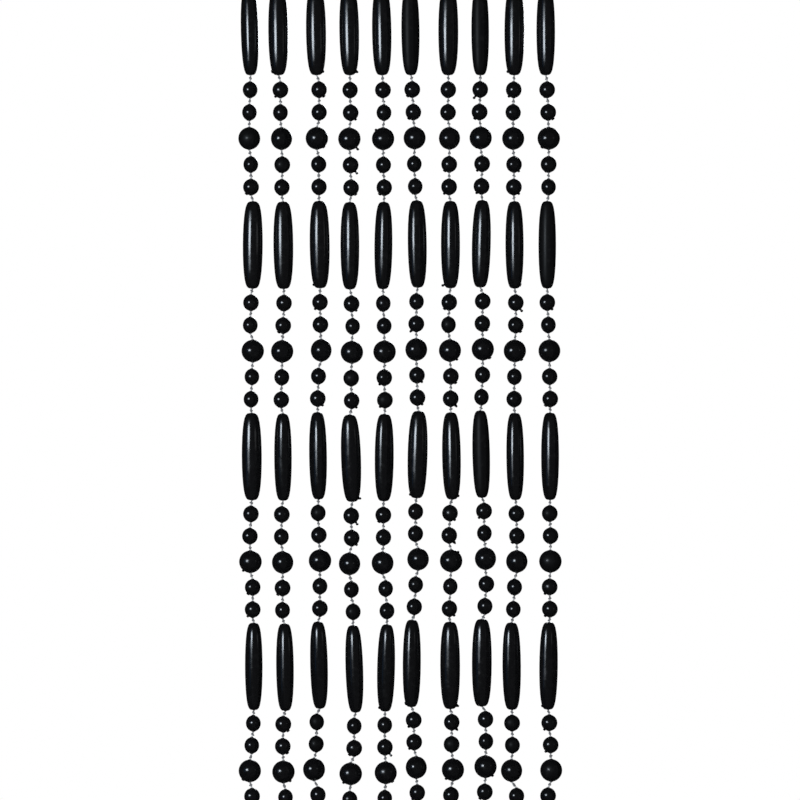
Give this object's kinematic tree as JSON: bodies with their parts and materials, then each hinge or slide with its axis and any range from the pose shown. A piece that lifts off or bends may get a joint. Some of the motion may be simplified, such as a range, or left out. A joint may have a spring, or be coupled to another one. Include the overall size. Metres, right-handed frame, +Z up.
{
  "type": "bead fly curtain",
  "caption": "Strings of long and round glossy black beads that hang side by side from a narrow folded tape, to screen a doorway from flies.",
  "frame": {"origin": "middle of the folded heading tape's top edge", "axes": "+Z up, with the strings hanging down -Z; +X along the width, to the right seen from the front; the front faces -Y"},
  "size_m": [0.2, 0.0142, 0.6047],
  "materials": {
    "heading_tape": "matt woven tape",
    "beads": "moulded and glossy",
    "thread": "twisted two-ply"
  },
  "bodies": {
    "root": {"heading_tape": "heading_tape", "bead_strings": "beads"}
  },
  "joints": []
}
